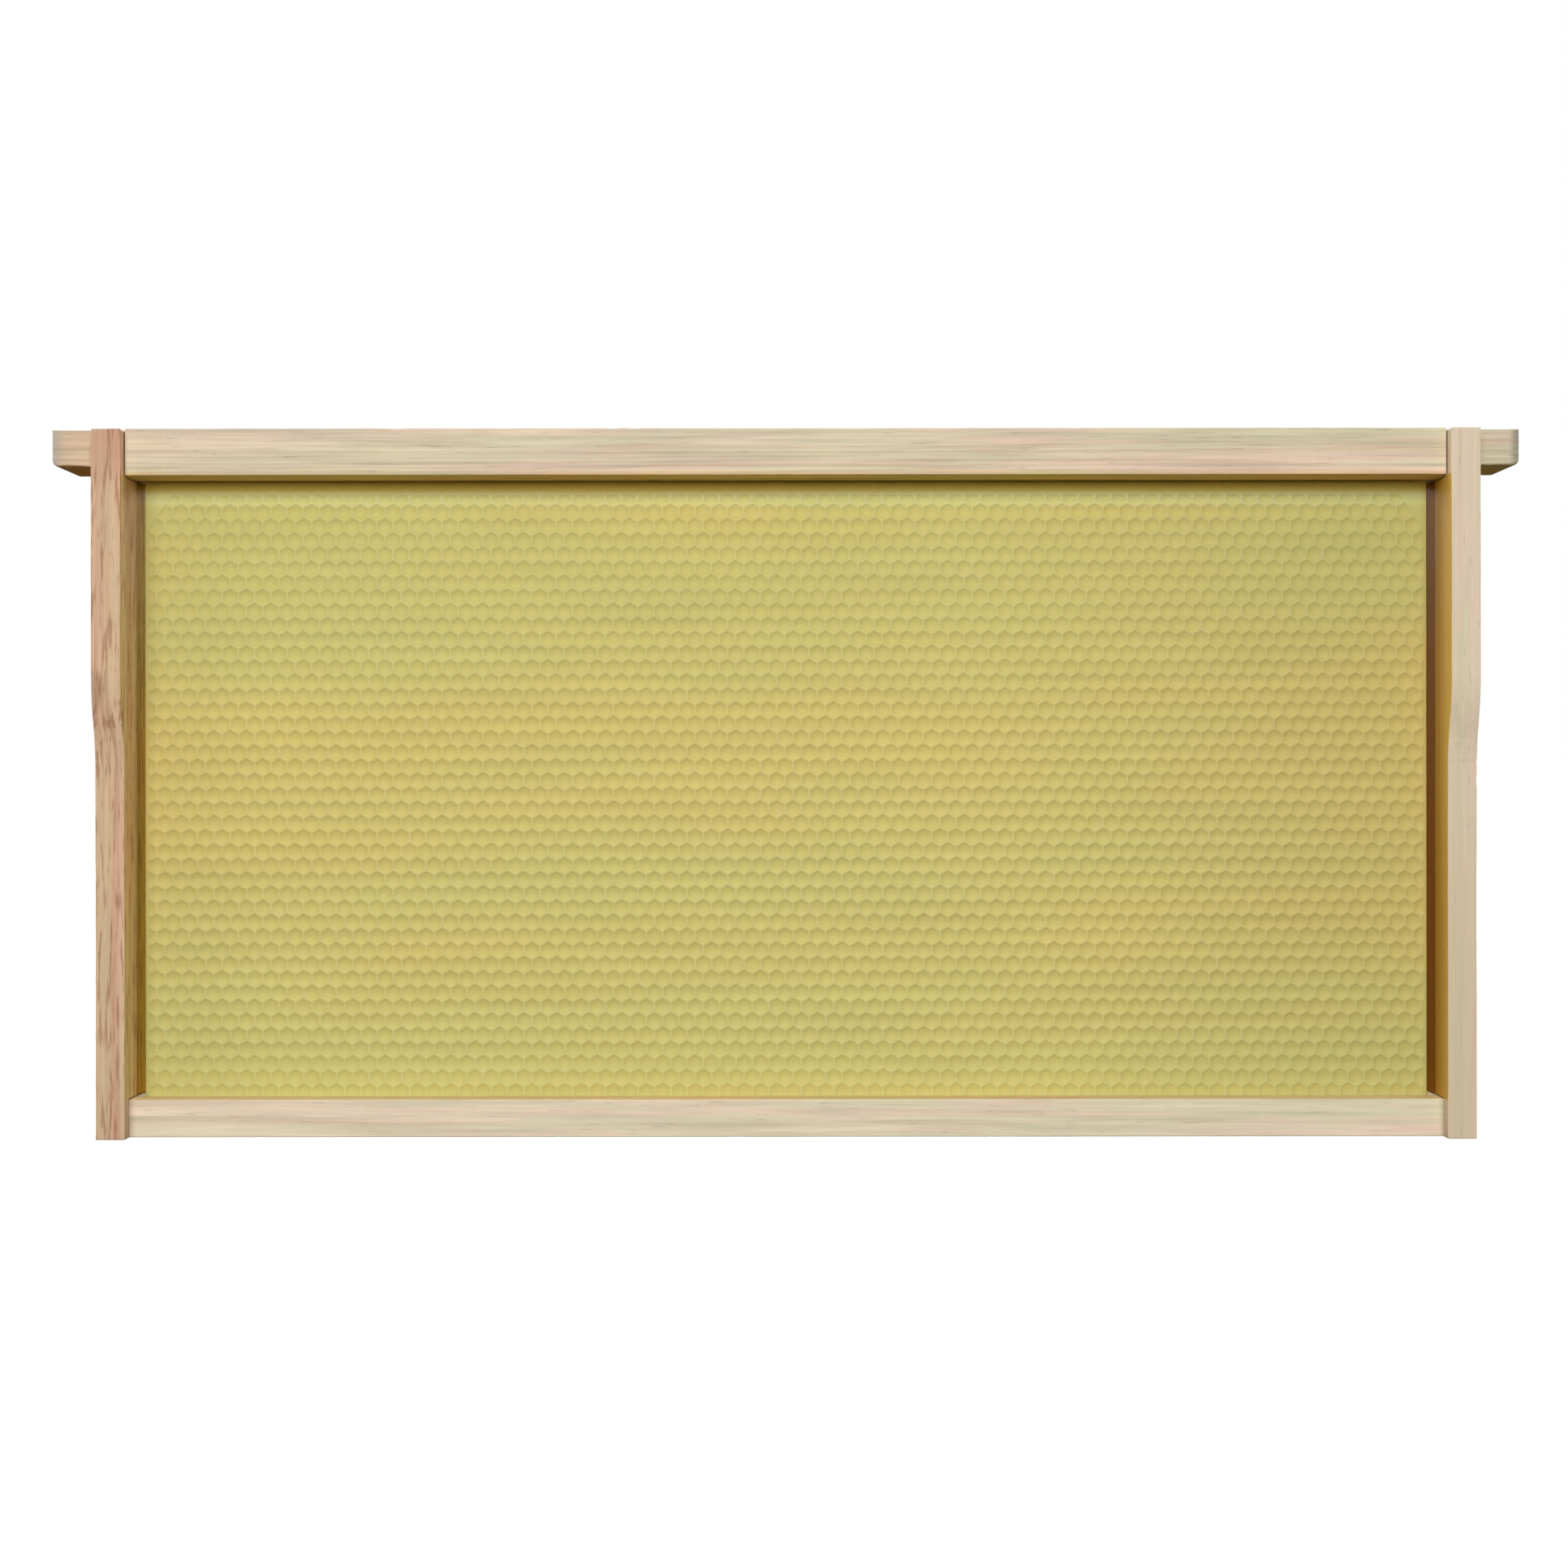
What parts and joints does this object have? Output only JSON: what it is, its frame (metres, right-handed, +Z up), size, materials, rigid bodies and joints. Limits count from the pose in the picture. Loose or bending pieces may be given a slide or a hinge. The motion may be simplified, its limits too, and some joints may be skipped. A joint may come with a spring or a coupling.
{
  "type": "langstroth hive frame",
  "caption": "Wooden deep hive frame: a top bar with hanging lugs, self-spacing side bars, a bottom bar, and a waxed plastic foundation sheet embossed with cells.",
  "frame": {"origin": "centre of the frame's footprint, on the plane of the side bars' and bottom bar's undersides", "axes": "+X along the top bar to the right lug, +Y through the frame's thickness to its back, +Z up to the top bar"},
  "size_m": [0.4826, 0.035, 0.2329],
  "materials": {
    "pine": "planed and sawn bare softwood, pale",
    "red_pine": "planed and sawn bare softwood, reddish",
    "foundation_plastic": "yellow moulded plastic embossed with hexagonal cell bases and coated with beeswax",
    "nail_steel": "bright wire nail"
  },
  "bodies": {
    "root": {"top_bar": "pine", "side_bar_left": "red_pine", "side_bar_right": "pine", "bottom_bar": "pine", "foundation": "foundation_plastic", "top_bar_nail_front_left": "nail_steel", "top_bar_nail_back_left": "nail_steel", "bottom_bar_nail_front_left": "nail_steel", "bottom_bar_nail_back_left": "nail_steel", "fork_nail_left": "nail_steel", "top_bar_nail_front_right": "nail_steel", "top_bar_nail_back_right": "nail_steel", "bottom_bar_nail_front_right": "nail_steel", "bottom_bar_nail_back_right": "nail_steel", "fork_nail_right": "nail_steel"}
  },
  "joints": []
}
